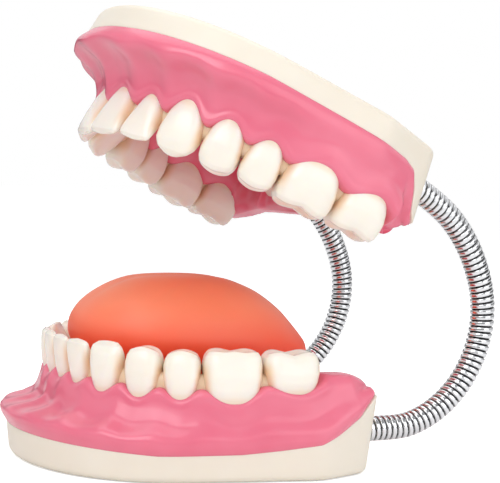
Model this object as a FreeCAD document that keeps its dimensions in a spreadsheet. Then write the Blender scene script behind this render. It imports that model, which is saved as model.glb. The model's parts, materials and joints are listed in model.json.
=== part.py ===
"""Large teaching typodont: two jaws on a pair of parallel bent metal goosenecks.

Frame: millimetres, +Z up, the front teeth face -Y, the left side of the mouth is +X.
The origin is the middle of the lower jaw's flat foot. Each jaw is drawn plate-down, with
its flat plate at z = 0 and its biting edges at z = jaw_height, and is then placed: the lower
jaw as drawn, the upper jaw turned over and carried by the goosenecks.
"""
import FreeCAD, Part
import math
import os
import Sketcher
from FreeCAD import Placement, Rotation, Vector

JAWS = ("lower", "upper")
TEETH = ("central_incisor", "lateral_incisor", "canine", "first_premolar",
         "second_premolar", "first_molar", "second_molar")
LOWER_TURNS = 4    # goosenecks: ball joints at the tighter turn, after the first one
UPPER_TURNS = 2    # goosenecks: ball joints at the wider turn, before the last one
LINKS = LOWER_TURNS + UPPER_TURNS + 1
NOSE_SWEEP = 65    # degrees: first guess of the front arc of a base, which the tangents then set
TONGUE_LEVELS = ((0.0, 0.72), (0.30, 0.88), (0.55, 1.0), (0.78, 0.88), (0.93, 0.64), (1.0, 0.30))

# TONGUE_LEVELS pairs a share of the tongue's height with a share of its width and length.
# The rows of SIZES: alias, value, meaning. Lengths in millimetres, angles in degrees.
SIZES = [
    ("jaw_height", 40.0, "flat plate to biting edges"),
    ("draft", 6.5, "outward lean of the base walls"),
    ("rim_height", 9.0, "height of the ivory rim along the front and sides"),
    ("heel_height", 26.0, "height of the ivory at the rear wall"),
    ("heel_run", 22.0, "length over which the rim sweeps up to the heel"),
    ("wall", 3.0, "wall of the base shells"),
    ("edge_round", 2.5, "rounding of the bottom edge of the bases"),
    ("corner_round", 7.0, "rounding of the upright corners of the bases"),
    ("plate_thickness", 2.0, "cover plate of each base"),
    ("plate_gap", 0.2, "clearance round a cover plate"),
    ("boss_radius", 4.5, "screw boss"),
    ("boss_side", 34.0, "screw bosses from the middle, sideways"),
    ("boss_front", 18.0, "front screw bosses, forwards of the origin"),
    ("boss_rear", 24.0, "rear screw bosses, behind the origin"),
    ("screw_radius", 1.5, "plate screw shank"),
    ("screw_length", 5.0, "plate screw shank length"),
    ("screw_head_radius", 2.9, "plate screw head"),
    ("screw_head_height", 1.2, "plate screw head height"),
    ("screw_gap", 0.2, "clearance round a plate screw"),
    ("gum_height", 26.5, "flat plate to the flat gum top under the crowns"),
    ("gum_inset", 0.8, "gum foot inside the ivory rim"),
    ("gum_margin", 2.2, "gum top outside the tooth row"),
    ("lingual_slope", 3.3, "gum foot inside the tooth row, past the crowns' inner faces"),
    ("carrier_width", 6.0, "tooth carrier strip, across the ridge"),
    ("carrier_depth", 6.0, "tooth carrier strip, into the gum"),
    ("peg_radius", 1.6, "root peg of a tooth"),
    ("peg_length", 4.5, "root peg length"),
    ("tooth_gap", 0.3, "clearance between neighbouring crowns"),
    ("tongue_width", 60.0, "tongue, widest"),
    ("tongue_front", 33.0, "tongue tip, forwards of the origin"),
    ("tongue_rear", 43.0, "tongue root, behind the origin"),
    ("tongue_rise", 20.5, "tongue top above the biting edges"),
    ("tongue_gap", 0.5, "tongue above the mouth floor"),
    ("tongue_peg_radius", 5.0, "locating peg under the tongue"),
    ("tongue_peg_length", 3.5, "locating peg length"),
    ("hose_radius", 4.15, "gooseneck, outside"),
    ("hose_spread", 47.0, "each gooseneck from the middle"),
    ("hose_height", 13.0, "goosenecks above the flat plate"),
    ("link_length", 16.64, "gooseneck, hinge to hinge"),
    ("end_length", 3.0, "gooseneck, rear wall to the nearest hinge"),
    ("first_turn", 3.6, "gooseneck turn at the first hinge"),
    ("lower_turn", 25.35, "gooseneck turn at each hinge of the lower half"),
    ("upper_turn", 19.6, "gooseneck turn at each hinge of the upper half"),
    ("last_turn", 10.6, "gooseneck turn at the last hinge"),
    ("link_gap", 2.0, "end face of a link from its hinge"),
    ("ball_radius", 3.0, "ball end of a link"),
    ("ball_gap", 0.15, "clearance round a ball end"),
    ("sleeve_radius", 4.9, "end sleeve pressed into a base"),
    ("sleeve_length", 12.0, "end sleeve length"),
    ("grub_radius", 1.5, "grub screw that clamps an end sleeve"),
    ("grub_length", 5.0, "grub screw length"),
    ("lower_front", 55.0, "lower base, origin to its front"),
    ("lower_rear", 46.0, "lower base, origin to its rear"),
    ("lower_half_width", 60.5, "lower base, half of its width"),
    ("lower_nose", 52.0, "lower base, radius of its front"),
    ("lower_heel_start", 27.0, "lower base, origin to its heel cuts"),
    ("lower_rear_half", 55.0, "lower base, half of its flat rear"),
    ("lower_row_half", 51.0, "lower tooth row centreline, half width"),
    ("lower_row_front", 38.5, "lower tooth row centreline, origin to front"),
    ("lower_row_depth", 77.0, "lower tooth row centreline, front to widest"),
    ("lower_floor", 14.0, "floor of the mouth above the plate"),
    ("upper_front", 59.0, "upper base, origin to its front"),
    ("upper_rear", 46.0, "upper base, origin to its rear"),
    ("upper_half_width", 60.5, "upper base, half of its width"),
    ("upper_nose", 55.0, "upper base, radius of its front"),
    ("upper_heel_start", 22.0, "upper base, origin to its heel cuts"),
    ("upper_rear_half", 54.0, "upper base, half of its flat rear"),
    ("upper_row_half", 54.0, "upper tooth row centreline, half width"),
    ("upper_row_front", 41.5, "upper tooth row centreline, origin to front"),
    ("upper_row_depth", 85.5, "upper tooth row centreline, front to widest"),
    ("upper_floor", 12.0, "palate above the plate"),
    ("row_fullness", 2.33, "exponent of the tooth row curve, 2 is an ellipse"),
]

# jaw, tooth: width along the row, depth across it, top edge's depth, rise over the biting plane
CROWNS = {
    "lower": ((9.6, 9.5, 3.0, 0.8), (10.1, 10.0, 3.2, 0.6), (11.8, 11.5, 4.0, 1.2),
              (12.0, 12.0, 7.0, 0.8), (12.1, 12.5, 8.5, 0.2), (18.9, 15.5, 12.5, 0.5),
              (18.6, 15.0, 12.0, 0.2)),
    "upper": ((16.4, 11.0, 3.2, 0.9), (12.2, 10.0, 3.2, 0.3), (14.2, 12.0, 4.2, 1.2),
              (13.2, 13.5, 8.5, 0.8), (12.8, 13.5, 9.0, 0.4), (19.3, 16.5, 13.5, 0.4),
              (18.1, 16.0, 13.0, -0.6)),
}


def add_sheet(document):
    """Write every driving size into the sheet, one aliased row each."""
    sheet = document.addObject("Spreadsheet::Sheet", "Sizes")
    rows = list(SIZES)
    for jaw in JAWS:
        for tooth, crown in zip(TEETH, CROWNS[jaw]):
            for word, value in zip(("width", "depth", "edge", "rise"), crown):
                rows.append((f"{jaw}_{tooth}_{word}", value, f"{jaw} {tooth} {word}"))
    for number, (alias, value, meaning) in enumerate(rows, start=1):
        sheet.set(f"A{number}", alias)
        sheet.set(f"B{number}", str(value))
        sheet.setAlias(f"B{number}", alias)
        sheet.set(f"C{number}", meaning)
    document.recompute()
    return sheet


document = FreeCAD.newDocument("typodont")
sheet = add_sheet(document)


def size(alias):
    """Return a driving size from the sheet."""
    return float(getattr(sheet, alias))


def bind(item, **expressions):
    """Bind properties of an object to expressions of the sheet's aliases."""
    for name, expression in expressions.items():
        item.setExpression(name, expression)


def ref(alias):
    """Return the expression text that names a cell."""
    return f"Sizes.{alias}"


def part(kind, label, placement=Placement(), **expressions):
    """Add a Part workbench object with bound sizes."""
    item = document.addObject(f"Part::{kind}", label)
    item.Label = label
    item.Placement = placement
    bind(item, **expressions)
    return item


def cylinder(label, radius, height, placement):
    """Add a cylinder whose radius and height are expressions."""
    return part("Cylinder", label, placement, Radius=radius, Height=height)


def fuse(label, pieces):
    """Join pieces into one solid."""
    item = part("MultiFuse", label)
    item.Shapes = pieces
    return item


def cut(label, base, tool):
    """Cut a tool out of a base."""
    item = part("Cut", label)
    item.Base = base
    item.Tool = tool
    return item


def feature(label, shape, placement=Placement()):
    """Add a free-form piece; its placement is set after its shape."""
    item = document.addObject("Part::Feature", label)
    item.Label = label
    item.Shape = shape
    item.Placement = placement
    return item


# ---------------------------------------------------------------- frames

def hinge_turns():
    """Return the turn of the goosenecks at each hinge, in degrees, from the lower jaw up."""
    lower = [size("lower_turn")] * LOWER_TURNS
    upper = [size("upper_turn")] * UPPER_TURNS
    return [size("first_turn")] + lower + upper + [size("last_turn")]


def rear_wall(jaw):
    """Return y of a base's rear wall at the height of the goosenecks."""
    lean = math.tan(math.radians(size("draft")))
    return size(f"{jaw}_rear") + size("hose_height") * lean


def hinge_frames():
    """Return (y, z, heading) at each hinge: where it is and where the next link points."""
    y = rear_wall("lower") + size("end_length")
    z = size("hose_height")
    heading = 0.0
    frames = []
    for number, turn in enumerate(hinge_turns()):
        if number:
            y += size("link_length") * math.cos(math.radians(heading))
            z += size("link_length") * math.sin(math.radians(heading))
        heading += turn
        frames.append((y, z, heading))
    return frames


def upper_placement():
    """Return where the upper jaw stands, drawn plate-down, at the end of the goosenecks."""
    y, z, heading = hinge_frames()[-1]
    tilt = Rotation(Vector(1, 0, 0), heading - 180)
    turned_over = Rotation(Vector(0, 1, 0), 180)
    rotation = tilt * turned_over
    end = Vector(0, rear_wall("upper") + size("end_length"), size("hose_height"))
    return Placement(Vector(0, y, z) - rotation.multVec(end), rotation)


PLACES = {"lower": Placement(), "upper": upper_placement()}
LEFT_SIGN = {"lower": 1, "upper": -1}    # x of the left side in the plate-down drawing


# ---------------------------------------------------------------- bases and plates

def origin_plane(body, role):
    """Return one of a body's own origin planes."""
    return next(item for item in body.Origin.OriginFeatures if item.Role == role)


def new_sketch(body, name, role="XY_Plane", height=None):
    """Add a sketch on an origin plane, lifted along the plane's normal by an expression."""
    sketch = body.newObject("Sketcher::SketchObject", name)
    sketch.AttachmentSupport = [(origin_plane(body, role), "")]
    sketch.MapMode = "FlatFace"
    if height:
        sketch.setExpression("AttachmentOffset.Base.z", height)
    return sketch


def bound(sketch, kind, *items, expression):
    """Add a dimension to a sketch and bind it to an expression."""
    number = sketch.addConstraint(Sketcher.Constraint(kind, *items))
    sketch.setExpression(f"Constraints[{number}]", expression)


def draw_outline(sketch, jaw, inset="0"):
    """Draw a base outline: round front, straight sides, slanted heel cuts, flat rear."""
    values = {word: size(f"{jaw}_{word}") for word in
              ("front", "rear", "half_width", "nose", "heel_start", "rear_half")}
    nose = Part.Circle(Vector(0, values["nose"] - values["front"], 0), Vector(0, 0, 1), values["nose"])
    arc = Part.ArcOfCircle(nose, math.radians(270 - NOSE_SWEEP), math.radians(270 + NOSE_SWEEP))
    sketch.addGeometry(arc, False)
    side = Vector(values["half_width"], values["heel_start"], 0)
    rear = Vector(values["rear_half"], values["rear"], 0)
    corners = [arc.EndPoint, side, rear, Vector(-rear.x, rear.y, 0), Vector(-side.x, side.y, 0),
               arc.StartPoint]
    for first, second in zip(corners, corners[1:]):
        sketch.addGeometry(Part.LineSegment(first, second), False)
    sketch.addConstraint(Sketcher.Constraint("Tangent", 0, 2, 1, 1))
    sketch.addConstraint(Sketcher.Constraint("Tangent", 5, 2, 0, 1))
    for line in (1, 2, 3, 4):
        sketch.addConstraint(Sketcher.Constraint("Coincident", line, 2, line + 1, 1))
    sketch.addConstraint(Sketcher.Constraint("PointOnObject", 0, 3, -2))
    sketch.addConstraint(Sketcher.Constraint("Symmetric", 2, 2, 3, 2, -2))
    sketch.addConstraint(Sketcher.Constraint("Symmetric", 1, 2, 4, 2, -2))
    nose_y = nose.Center.y
    bound(sketch, "DistanceY", -1, 1, 0, 3, nose_y,
          expression=f"{ref(jaw + '_nose')} - {ref(jaw + '_front')}")
    bound(sketch, "Radius", 0, values["nose"], expression=f"{ref(jaw + '_nose')} - ({inset})")
    bound(sketch, "DistanceX", -1, 1, 1, 2, side.x, expression=f"{ref(jaw + '_half_width')} - ({inset})")
    bound(sketch, "DistanceY", -1, 1, 1, 2, side.y, expression=ref(jaw + "_heel_start"))
    bound(sketch, "DistanceX", -1, 1, 2, 2, rear.x, expression=f"{ref(jaw + '_rear_half')} - ({inset})")
    bound(sketch, "DistanceY", -1, 1, 2, 2, rear.y, expression=f"{ref(jaw + '_rear')} - ({inset})")


def draw_boss_circles(sketch, radius):
    """Draw a circle of a bound radius at each of the four screw bosses."""
    for x_sign in (-1, 1):
        for row in ("boss_front", "boss_rear"):
            y = size("boss_rear") if row == "boss_rear" else -size("boss_front")
            y_text = ref(row) if row == "boss_rear" else f"-{ref(row)}"
            x_text = ref("boss_side") if x_sign > 0 else f"-{ref('boss_side')}"
            centre = Vector(x_sign * size("boss_side"), y, 0)
            index = sketch.addGeometry(Part.Circle(centre, Vector(0, 0, 1), 3), False)
            bound(sketch, "Radius", index, 3, expression=radius)
            bound(sketch, "DistanceX", -1, 1, index, 3, centre.x, expression=x_text)
            bound(sketch, "DistanceY", -1, 1, index, 3, centre.y, expression=y_text)


def pad(body, name, sketch, length):
    """Pad a sketch upwards."""
    item = body.newObject("PartDesign::Pad", name)
    item.Profile = sketch
    bind(item, Length=length)
    return item


def pocket(body, name, sketch, length):
    """Pocket a sketch upwards and check that it removed material."""
    document.recompute()
    before = body.Shape.Volume
    item = body.newObject("PartDesign::Pocket", name)
    item.Profile = sketch
    item.Reversed = True
    bind(item, Length=length)
    document.recompute()
    if body.Shape.Volume > before - 1:
        raise RuntimeError(f"{body.Label}: {name} cuts nothing")
    return item


def draw_crest(sketch, jaw):
    """Draw what is cut off above the rim: level at the front, sweeping up to the heel."""
    rim, heel, run = size("rim_height"), size("heel_height"), size("heel_run")
    rear, front = size(f"{jaw}_rear"), size(f"{jaw}_front")
    start = Vector(rear - run, rim, 0)
    end = Vector(rear + run / 4, heel, 0)
    radius = ((end.x - start.x) ** 2 + (end.y - start.y) ** 2) / (2 * (end.y - start.y))
    circle = Part.Circle(Vector(start.x, rim + radius, 0), Vector(0, 0, 1), radius)
    first = Vector(-2 * front, rim, 0)
    lid_left, lid_right = Vector(-2 * front, 2 * heel, 0), Vector(end.x, 2 * heel, 0)
    end_angle = math.atan2(end.y - rim - radius, end.x - start.x)
    sketch.addGeometry(Part.LineSegment(first, start), False)
    sketch.addGeometry(Part.ArcOfCircle(circle, -math.pi / 2, end_angle), False)
    sketch.addGeometry(Part.LineSegment(end, lid_right), False)
    sketch.addGeometry(Part.LineSegment(lid_right, lid_left), False)
    sketch.addGeometry(Part.LineSegment(lid_left, first), False)
    sketch.addConstraint(Sketcher.Constraint("Tangent", 0, 2, 1, 1))
    for line, other in ((1, 2), (2, 3), (3, 4), (4, 0)):
        sketch.addConstraint(Sketcher.Constraint("Coincident", line, 2, other, 1))
    for kind, line in (("Horizontal", 0), ("Vertical", 2), ("Horizontal", 3), ("Vertical", 4)):
        sketch.addConstraint(Sketcher.Constraint(kind, line))
    bound(sketch, "DistanceX", -1, 1, 0, 2, start.x, expression=f"{ref(jaw + '_rear')} - {ref('heel_run')}")
    bound(sketch, "DistanceY", -1, 1, 0, 2, rim, expression=ref("rim_height"))
    bound(sketch, "DistanceX", -1, 1, 1, 2, end.x, expression=f"{ref(jaw + '_rear')} + {ref('heel_run')} / 4")
    bound(sketch, "DistanceY", -1, 1, 1, 2, end.y, expression=ref("heel_height"))
    bound(sketch, "DistanceY", 2, 1, 2, 2, heel, expression=ref("heel_height"))
    bound(sketch, "DistanceX", 4, 2, 0, 2, start.x - first.x,
          expression=f"{ref(jaw + '_rear')} - {ref('heel_run')} + 2 * {ref(jaw + '_front')}")


def edge_names(shape, test):
    """Return the names of the edges that pass a test."""
    return [f"Edge{number}" for number, edge in enumerate(shape.Edges, start=1) if test(edge)]


def is_upright_corner(edge):
    """Tell whether an edge is one of the four upright rear corners of a base."""
    ends = [vertex.Point for vertex in edge.Vertexes]
    return len(ends) == 2 and abs(ends[0].z - ends[1].z) > size("rim_height") / 2 and ends[0].y > 0


def is_foot_edge(edge):
    """Tell whether an edge lies in the flat plate's plane."""
    return all(abs(vertex.Point.z) < 1e-6 for vertex in edge.Vertexes)


def add_base(jaw):
    """Build a base body: drafted block, swept crest, hollow with bosses, recess for the plate."""
    body = document.addObject("PartDesign::Body", f"{jaw}_base_body")
    outline = new_sketch(body, f"{jaw}_outline")
    draw_outline(outline, jaw)
    block = pad(body, f"{jaw}_block", outline, ref("heel_height"))
    bind(block, TaperAngle=ref("draft"))
    document.recompute()
    corners = body.newObject("PartDesign::Fillet", f"{jaw}_corners")
    corners.Base = (block, edge_names(block.Shape, is_upright_corner))
    bind(corners, Radius=ref("corner_round"))
    document.recompute()
    foot = body.newObject("PartDesign::Fillet", f"{jaw}_foot_round")
    foot.Base = (corners, edge_names(corners.Shape, is_foot_edge))
    bind(foot, Radius=ref("edge_round"))
    crest = new_sketch(body, f"{jaw}_crest", "YZ_Plane")
    draw_crest(crest, jaw)
    top = pocket(body, f"{jaw}_top", crest, f"4 * {ref(jaw + '_half_width')}")
    top.SideType = "Symmetric"
    recess = new_sketch(body, f"{jaw}_recess")
    draw_outline(recess, jaw, ref("wall"))
    pocket(body, f"{jaw}_plate_recess", recess, ref("plate_thickness"))
    hollow = new_sketch(body, f"{jaw}_hollow_outline")
    draw_outline(hollow, jaw, f"{ref('wall')} + 1")
    draw_boss_circles(hollow, ref("boss_radius"))
    pocket(body, f"{jaw}_hollow", hollow, f"{ref('rim_height')} - {ref('wall')}")
    pilots = new_sketch(body, f"{jaw}_pilots")
    draw_boss_circles(pilots, ref("screw_radius"))
    pocket(body, f"{jaw}_pilot_holes", pilots, f"{ref('screw_length')} + {ref('screw_head_height')}")
    return body


def add_plate(jaw):
    """Build a cover plate with four counterbored screw holes."""
    body = document.addObject("PartDesign::Body", f"{jaw}_base_plate")
    body.Label = f"{jaw}_base_plate"
    outline = new_sketch(body, f"{jaw}_plate_outline")
    draw_outline(outline, jaw, f"{ref('wall')} + {ref('plate_gap')}")
    pad(body, f"{jaw}_plate_pad", outline, ref("plate_thickness"))
    holes = new_sketch(body, f"{jaw}_plate_holes")
    draw_boss_circles(holes, f"{ref('screw_radius')} + {ref('screw_gap')}")
    pocket(body, f"{jaw}_plate_hole_cut", holes, ref("plate_thickness"))
    heads = new_sketch(body, f"{jaw}_plate_counterbores")
    draw_boss_circles(heads, f"{ref('screw_head_radius')} + {ref('screw_gap')}")
    pocket(body, f"{jaw}_plate_counterbore_cut", heads, ref("screw_head_height"))
    body.Placement = PLACES[jaw]
    return body


def add_plate_screws(jaw):
    """Build the four screws of a cover plate as one group."""
    screws = []
    for number, (x_sign, y) in enumerate([(x, y) for x in (-1, 1)
                                          for y in (-size("boss_front"), size("boss_rear"))], start=1):
        place = PLACES[jaw] * Placement(Vector(x_sign * size("boss_side"), y, 0), Rotation())
        head = cylinder(f"{jaw}_screw_head_{number}", ref("screw_head_radius"),
                        ref("screw_head_height"), place)
        shank = cylinder(f"{jaw}_screw_shank_{number}", ref("screw_radius"),
                         f"{ref('screw_length')} + {ref('screw_head_height')}", place)
        screws.append(fuse(f"{jaw}_screw_{number}", [head, shank]))
    group = part("Compound", f"{jaw}_plate_screws")
    group.Links = screws
    return group


# ---------------------------------------------------------------- gums, carriers, teeth

def row_point(jaw, angle, outward, forward):
    """Return a point of the tooth row curve at an angle of -90 to 90 degrees.

    The curve is moved outwards at its sides and forwards at its front.
    """
    power = 2 / size("row_fullness")
    half = size(f"{jaw}_row_half") + outward
    depth = size(f"{jaw}_row_depth") + forward
    across = math.copysign(abs(math.sin(math.radians(angle))) ** power, angle)
    along = max(math.cos(math.radians(angle)), 0.0) ** power
    return Vector(half * across, size(f"{jaw}_row_depth") - size(f"{jaw}_row_front") - depth * along, 0)


def row_curve(jaw, outward=0.0, forward=0.0, steps=24):
    """Return a smooth curve along the tooth row from the right end round to the left end."""
    angles = [-90 + 180 * step / steps for step in range(steps + 1)]
    curve = Part.BSplineCurve()
    curve.interpolate([row_point(jaw, angle, outward, forward) for angle in angles])
    return curve


def row_wire(jaw, outward, forward, height, rear):
    """Return a closed wire: the row curve, straight sides to the rear and a flat rear."""
    curve = row_curve(jaw, outward, forward)
    first, last = curve.StartPoint, curve.EndPoint
    corner_last, corner_first = Vector(last.x, rear, 0), Vector(first.x, rear, 0)
    edges = [curve.toShape()]
    for start, end in ((last, corner_last), (corner_last, corner_first), (corner_first, first)):
        edges.append(Part.LineSegment(start, end).toShape())
    wire = Part.Wire(edges)
    wire.translate(Vector(0, 0, height))
    return wire


def heel_wedges(jaw, widest):
    """Return the two blocks outside the slanted heel cuts, to trim the gum like the base."""
    start, rear = size(f"{jaw}_heel_start"), size(f"{jaw}_rear")
    slope = (widest - size(f"{jaw}_rear_half")) / (rear - start)
    far = 2 * rear
    outside = 2 * widest
    corners = [Vector(widest, start, 0), Vector(widest - slope * (far - start), far, 0),
               Vector(outside, far, 0), Vector(outside, start, 0)]
    wedge = Part.Face(Part.makePolygon(corners + corners[:1])).extrude(Vector(0, 0, size("jaw_height")))
    return [wedge, wedge.mirror(Vector(0, 0, 0), Vector(1, 0, 0))]


def ridge_shape(jaw):
    """Return the solid gum: foot on the rim, top under the crowns, hollowed for the mouth."""
    lean = size("rim_height") * math.tan(math.radians(size("draft")))
    crown = size(f"{jaw}_second_molar_depth") / 2
    row = size(f"{jaw}_row_half")
    foot = size(f"{jaw}_half_width") + lean - size("gum_inset") - row
    toe = size(f"{jaw}_front") + lean - size("gum_inset") - size(f"{jaw}_row_front")
    top = crown + size("gum_margin")
    rear = size(f"{jaw}_rear") - size("gum_inset")
    outer = Part.makeLoft([row_wire(jaw, foot, toe, size("rim_height"), rear),
                           row_wire(jaw, top, top, size("gum_height"), rear)], True, True)
    slope = -crown - size("lingual_slope")
    past = size("jaw_height")
    inner = Part.makeLoft([row_wire(jaw, slope, slope, size(f"{jaw}_floor"), rear + past),
                           row_wire(jaw, -crown, -crown, past, rear + past)], True, True)
    return outer.cut([inner] + heel_wedges(jaw, row + max(foot, top)))


def strip_shape(jaw):
    """Return the tooth carrier: a strip set into the top of the ridge, cut off behind the teeth."""
    half = size("carrier_width") / 2
    height = size("gum_height") - size("carrier_depth")
    widest = size(f"{jaw}_row_depth") - size(f"{jaw}_row_front")
    up = Vector(0, 0, size("carrier_depth"))
    outer = Part.Face(row_wire(jaw, half, half, height, widest + half)).extrude(up)
    inner = Part.Face(row_wire(jaw, -half, -half, height, widest + 2 * half)).extrude(up)
    reach = size(f"{jaw}_row_half") + 2 * half
    rest = Part.makeBox(2 * reach, reach, 2 * up.z, Vector(-reach, strip_rear(jaw), height - 1))
    return outer.cut(inner).cut(rest)


def tooth_stations(jaw):
    """Return (x, y, turn) of each left tooth's middle, walking back along the row curve."""
    curve = row_curve(jaw)
    middle = (curve.FirstParameter + curve.LastParameter) / 2
    end = curve.LastParameter
    walked = 0.0
    stations = []
    for tooth in TEETH:
        width = size(f"{jaw}_{tooth}_width")
        distance = walked + width / 2
        walked += width
        left_over = distance - curve.length(middle, end)
        if left_over > 0:
            point = curve.EndPoint + Vector(0, left_over, 0)
            stations.append((point.x, point.y, 90.0))
            continue
        at = curve.parameterAtDistance(distance, middle)
        point, direction = curve.value(at), curve.tangent(at)[0]
        stations.append((point.x, point.y, math.degrees(math.atan2(direction.y, direction.x))))
    return stations


def strip_rear(jaw):
    """Return y where the tooth carrier ends, just past the last tooth's middle."""
    return tooth_stations(jaw)[-1][1] + size(f"{jaw}_second_molar_width") / 3


def ellipse_wire(width, depth, height):
    """Return an ellipse of a width along X and a depth along Y at a height."""
    major, minor = max(width, depth) / 2, min(width, depth) / 2
    far = Vector(major, 0, height) if width >= depth else Vector(0, major, height)
    near = Vector(0, minor, height) if width >= depth else Vector(-minor, 0, height)
    return Part.Wire([Part.Ellipse(far, near, Vector(0, 0, height)).toShape()])


def crown_shape(jaw, tooth):
    """Return one tooth at its own middle: crown over the gum and a root peg below."""
    width = size(f"{jaw}_{tooth}_width") - size("tooth_gap")
    depth, edge = size(f"{jaw}_{tooth}_depth"), size(f"{jaw}_{tooth}_edge")
    low = size("gum_height")
    high = size("jaw_height") + size(f"{jaw}_{tooth}_rise")
    crown = high - low
    sections = [ellipse_wire(0.8 * width, 0.85 * depth, low),
                ellipse_wire(width, depth, low + 0.5 * crown),
                ellipse_wire(0.95 * width, (depth + 2 * edge) / 3, low + 0.85 * crown),
                ellipse_wire(0.8 * width, edge, high)]
    root = Vector(0, 0, low - size("peg_length"))
    peg = Part.makeCylinder(size("peg_radius"), size("peg_length") + 1, root)
    return Part.makeLoft(sections, True, False).fuse(peg).removeSplitter()


def tooth_places(jaw):
    """Return (name, tooth, place) of the fourteen teeth, in the plate-down drawing."""
    places = []
    for tooth, (x, y, turn) in zip(TEETH, tooth_stations(jaw)):
        for side, sign in (("left", LEFT_SIGN[jaw]), ("right", -LEFT_SIGN[jaw])):
            rotation = Rotation(Vector(0, 0, 1), sign * turn)
            places.append((f"{jaw}_{side}_{tooth}", tooth, Placement(Vector(sign * x, y, 0), rotation)))
    return places


def add_carrier(jaw):
    """Build the tooth carrier with a hole for each root peg."""
    strip = strip_shape(jaw)
    height = size("gum_height") - size("peg_length")
    pegs = [Part.makeCylinder(size("peg_radius"), size("peg_length") + 1,
                              Vector(place.Base.x, place.Base.y, height))
            for _, _, place in tooth_places(jaw)]
    return feature(f"{jaw}_tooth_carrier", strip.cut(pegs), PLACES[jaw])


def add_teeth(jaw):
    """Build the fourteen separate teeth of a jaw."""
    return [feature(name, crown_shape(jaw, tooth), PLACES[jaw] * place)
            for name, tooth, place in tooth_places(jaw)]


def add_gum(jaw, body):
    """Build the gum: it lies on the base and holds the tooth carrier."""
    document.recompute()
    sleeves = [sleeve_room(jaw, sign * size("hose_spread")) for sign in (-1, 1)]
    shape = ridge_shape(jaw).cut(body.Shape).cut(strip_shape(jaw)).cut(sleeves)
    if jaw == "lower":
        shape = shape.cut(tongue_peg(0.0))
    solids = sorted(shape.Solids, key=lambda solid: solid.Volume)
    return feature(f"{jaw}_gum", solids[-1], PLACES[jaw])


def sleeve_room(jaw, x):
    """Return the space that an end sleeve takes where it stands above the base's crest."""
    start = Vector(x, rear_wall(jaw) - size("sleeve_length"), size("hose_height"))
    return Part.makeCylinder(size("sleeve_radius"), size("sleeve_length"), start, Vector(0, 1, 0))


def tongue_peg(lift):
    """Return the tongue's locating peg, standing in the mouth floor."""
    bottom = Vector(0, 0, size("lower_floor") - size("tongue_peg_length"))
    return Part.makeCylinder(size("tongue_peg_radius"), size("tongue_peg_length") + lift, bottom)


def add_tongue():
    """Build the tongue: a smooth dome that widens over the floor and stands on a peg."""
    low = size("lower_floor") + size("tongue_gap")
    high = size("jaw_height") + size("tongue_rise")
    length = size("tongue_front") + size("tongue_rear")
    middle = (size("tongue_rear") - size("tongue_front")) / 2
    sections = []
    for rise, share in TONGUE_LEVELS:
        wire = ellipse_wire(share * size("tongue_width"), share * length, low + rise * (high - low))
        wire.translate(Vector(0, middle, 0))
        sections.append(wire)
    dome = Part.makeLoft(sections, True, False)
    shape = dome.fuse(tongue_peg(size("tongue_gap") + 1)).removeSplitter()
    return feature("tongue", shape)


# ---------------------------------------------------------------- goosenecks

def hose_line(jaw, x):
    """Return a placement on a gooseneck's line inside a base, Z along it and outwards."""
    outwards = Rotation(Vector(0, 0, 1), Vector(0, 1, 0))
    return Placement(Vector(x, rear_wall(jaw), size("hose_height")), outwards)


def along(place, distance):
    """Return a placement moved along its own Z."""
    return place * Placement(Vector(0, 0, distance), Rotation())


def sleeve_hole(jaw, x, label):
    """Return the drilled hole for an end sleeve, past the leaning rear wall."""
    return cylinder(label, ref("sleeve_radius"), f"{ref('sleeve_length')} + {ref('heel_height')}",
                    along(hose_line(jaw, x), -size("sleeve_length")))


def grub_hole(jaw, x, label):
    """Return the threaded hole of a grub screw, from the plate up to the sleeve."""
    place = Placement(Vector(x, rear_wall(jaw) - size("sleeve_length") / 2, 0), Rotation())
    return cylinder(label, ref("grub_radius"), ref("hose_height"), place)


def finish_base(jaw, body):
    """Drill a base for its end sleeves and grub screws."""
    holes = []
    for side, sign in (("left", LEFT_SIGN[jaw]), ("right", -LEFT_SIGN[jaw])):
        x = sign * size("hose_spread")
        holes.append(sleeve_hole(jaw, x, f"{jaw}_{side}_sleeve_hole"))
        holes.append(grub_hole(jaw, x, f"{jaw}_{side}_grub_hole"))
    base = cut(f"{jaw}_base", body, fuse(f"{jaw}_base_holes", holes))
    base.Placement = PLACES[jaw]
    return base


def ball(label, place, grow="0"):
    """Return a sphere at a hinge."""
    return part("Sphere", label, place, Radius=f"{ref('ball_radius')} + {grow}")


def add_end_fitting(jaw, side):
    """Build an end fitting: a sleeve in the base and a short stub out to the first hinge."""
    x = (1 if side == "left" else -1) * LEFT_SIGN[jaw] * size("hose_spread")
    name = f"{jaw}_{side}_end_fitting"
    line = PLACES[jaw] * hose_line(jaw, x)
    hinge = along(line, size("end_length"))
    inside = along(line, -size("sleeve_length"))
    sleeve = cylinder(f"{name}_sleeve", ref("sleeve_radius"),
                      f"{ref('sleeve_length')} - {ref('wall')} / 3", inside)
    reach = f"{ref('sleeve_length')} + {ref('end_length')} - {ref('link_gap')}"
    stub = cylinder(f"{name}_stub", ref("hose_radius"), reach, inside)
    if jaw == "upper":
        return fuse(name, [sleeve, stub, ball(f"{name}_ball", hinge)])
    return cut(name, fuse(f"{name}_solid", [sleeve, stub]), ball(f"{name}_socket", hinge, ref("ball_gap")))


def add_grub_screws(jaw):
    """Build the two grub screws that clamp a base's end sleeves, as one group."""
    screws = []
    for side, x_sign in (("left", 1), ("right", -1)):
        y = rear_wall(jaw) - size("sleeve_length") / 2
        z = size("hose_height") - size("sleeve_radius") - size("grub_length")
        place = PLACES[jaw] * Placement(Vector(x_sign * size("hose_spread"), y, z), Rotation())
        screws.append(cylinder(f"{jaw}_{side}_grub", ref("grub_radius"), ref("grub_length"), place))
    group = part("Compound", f"{jaw}_clamp_screws")
    group.Links = screws
    return group


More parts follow.
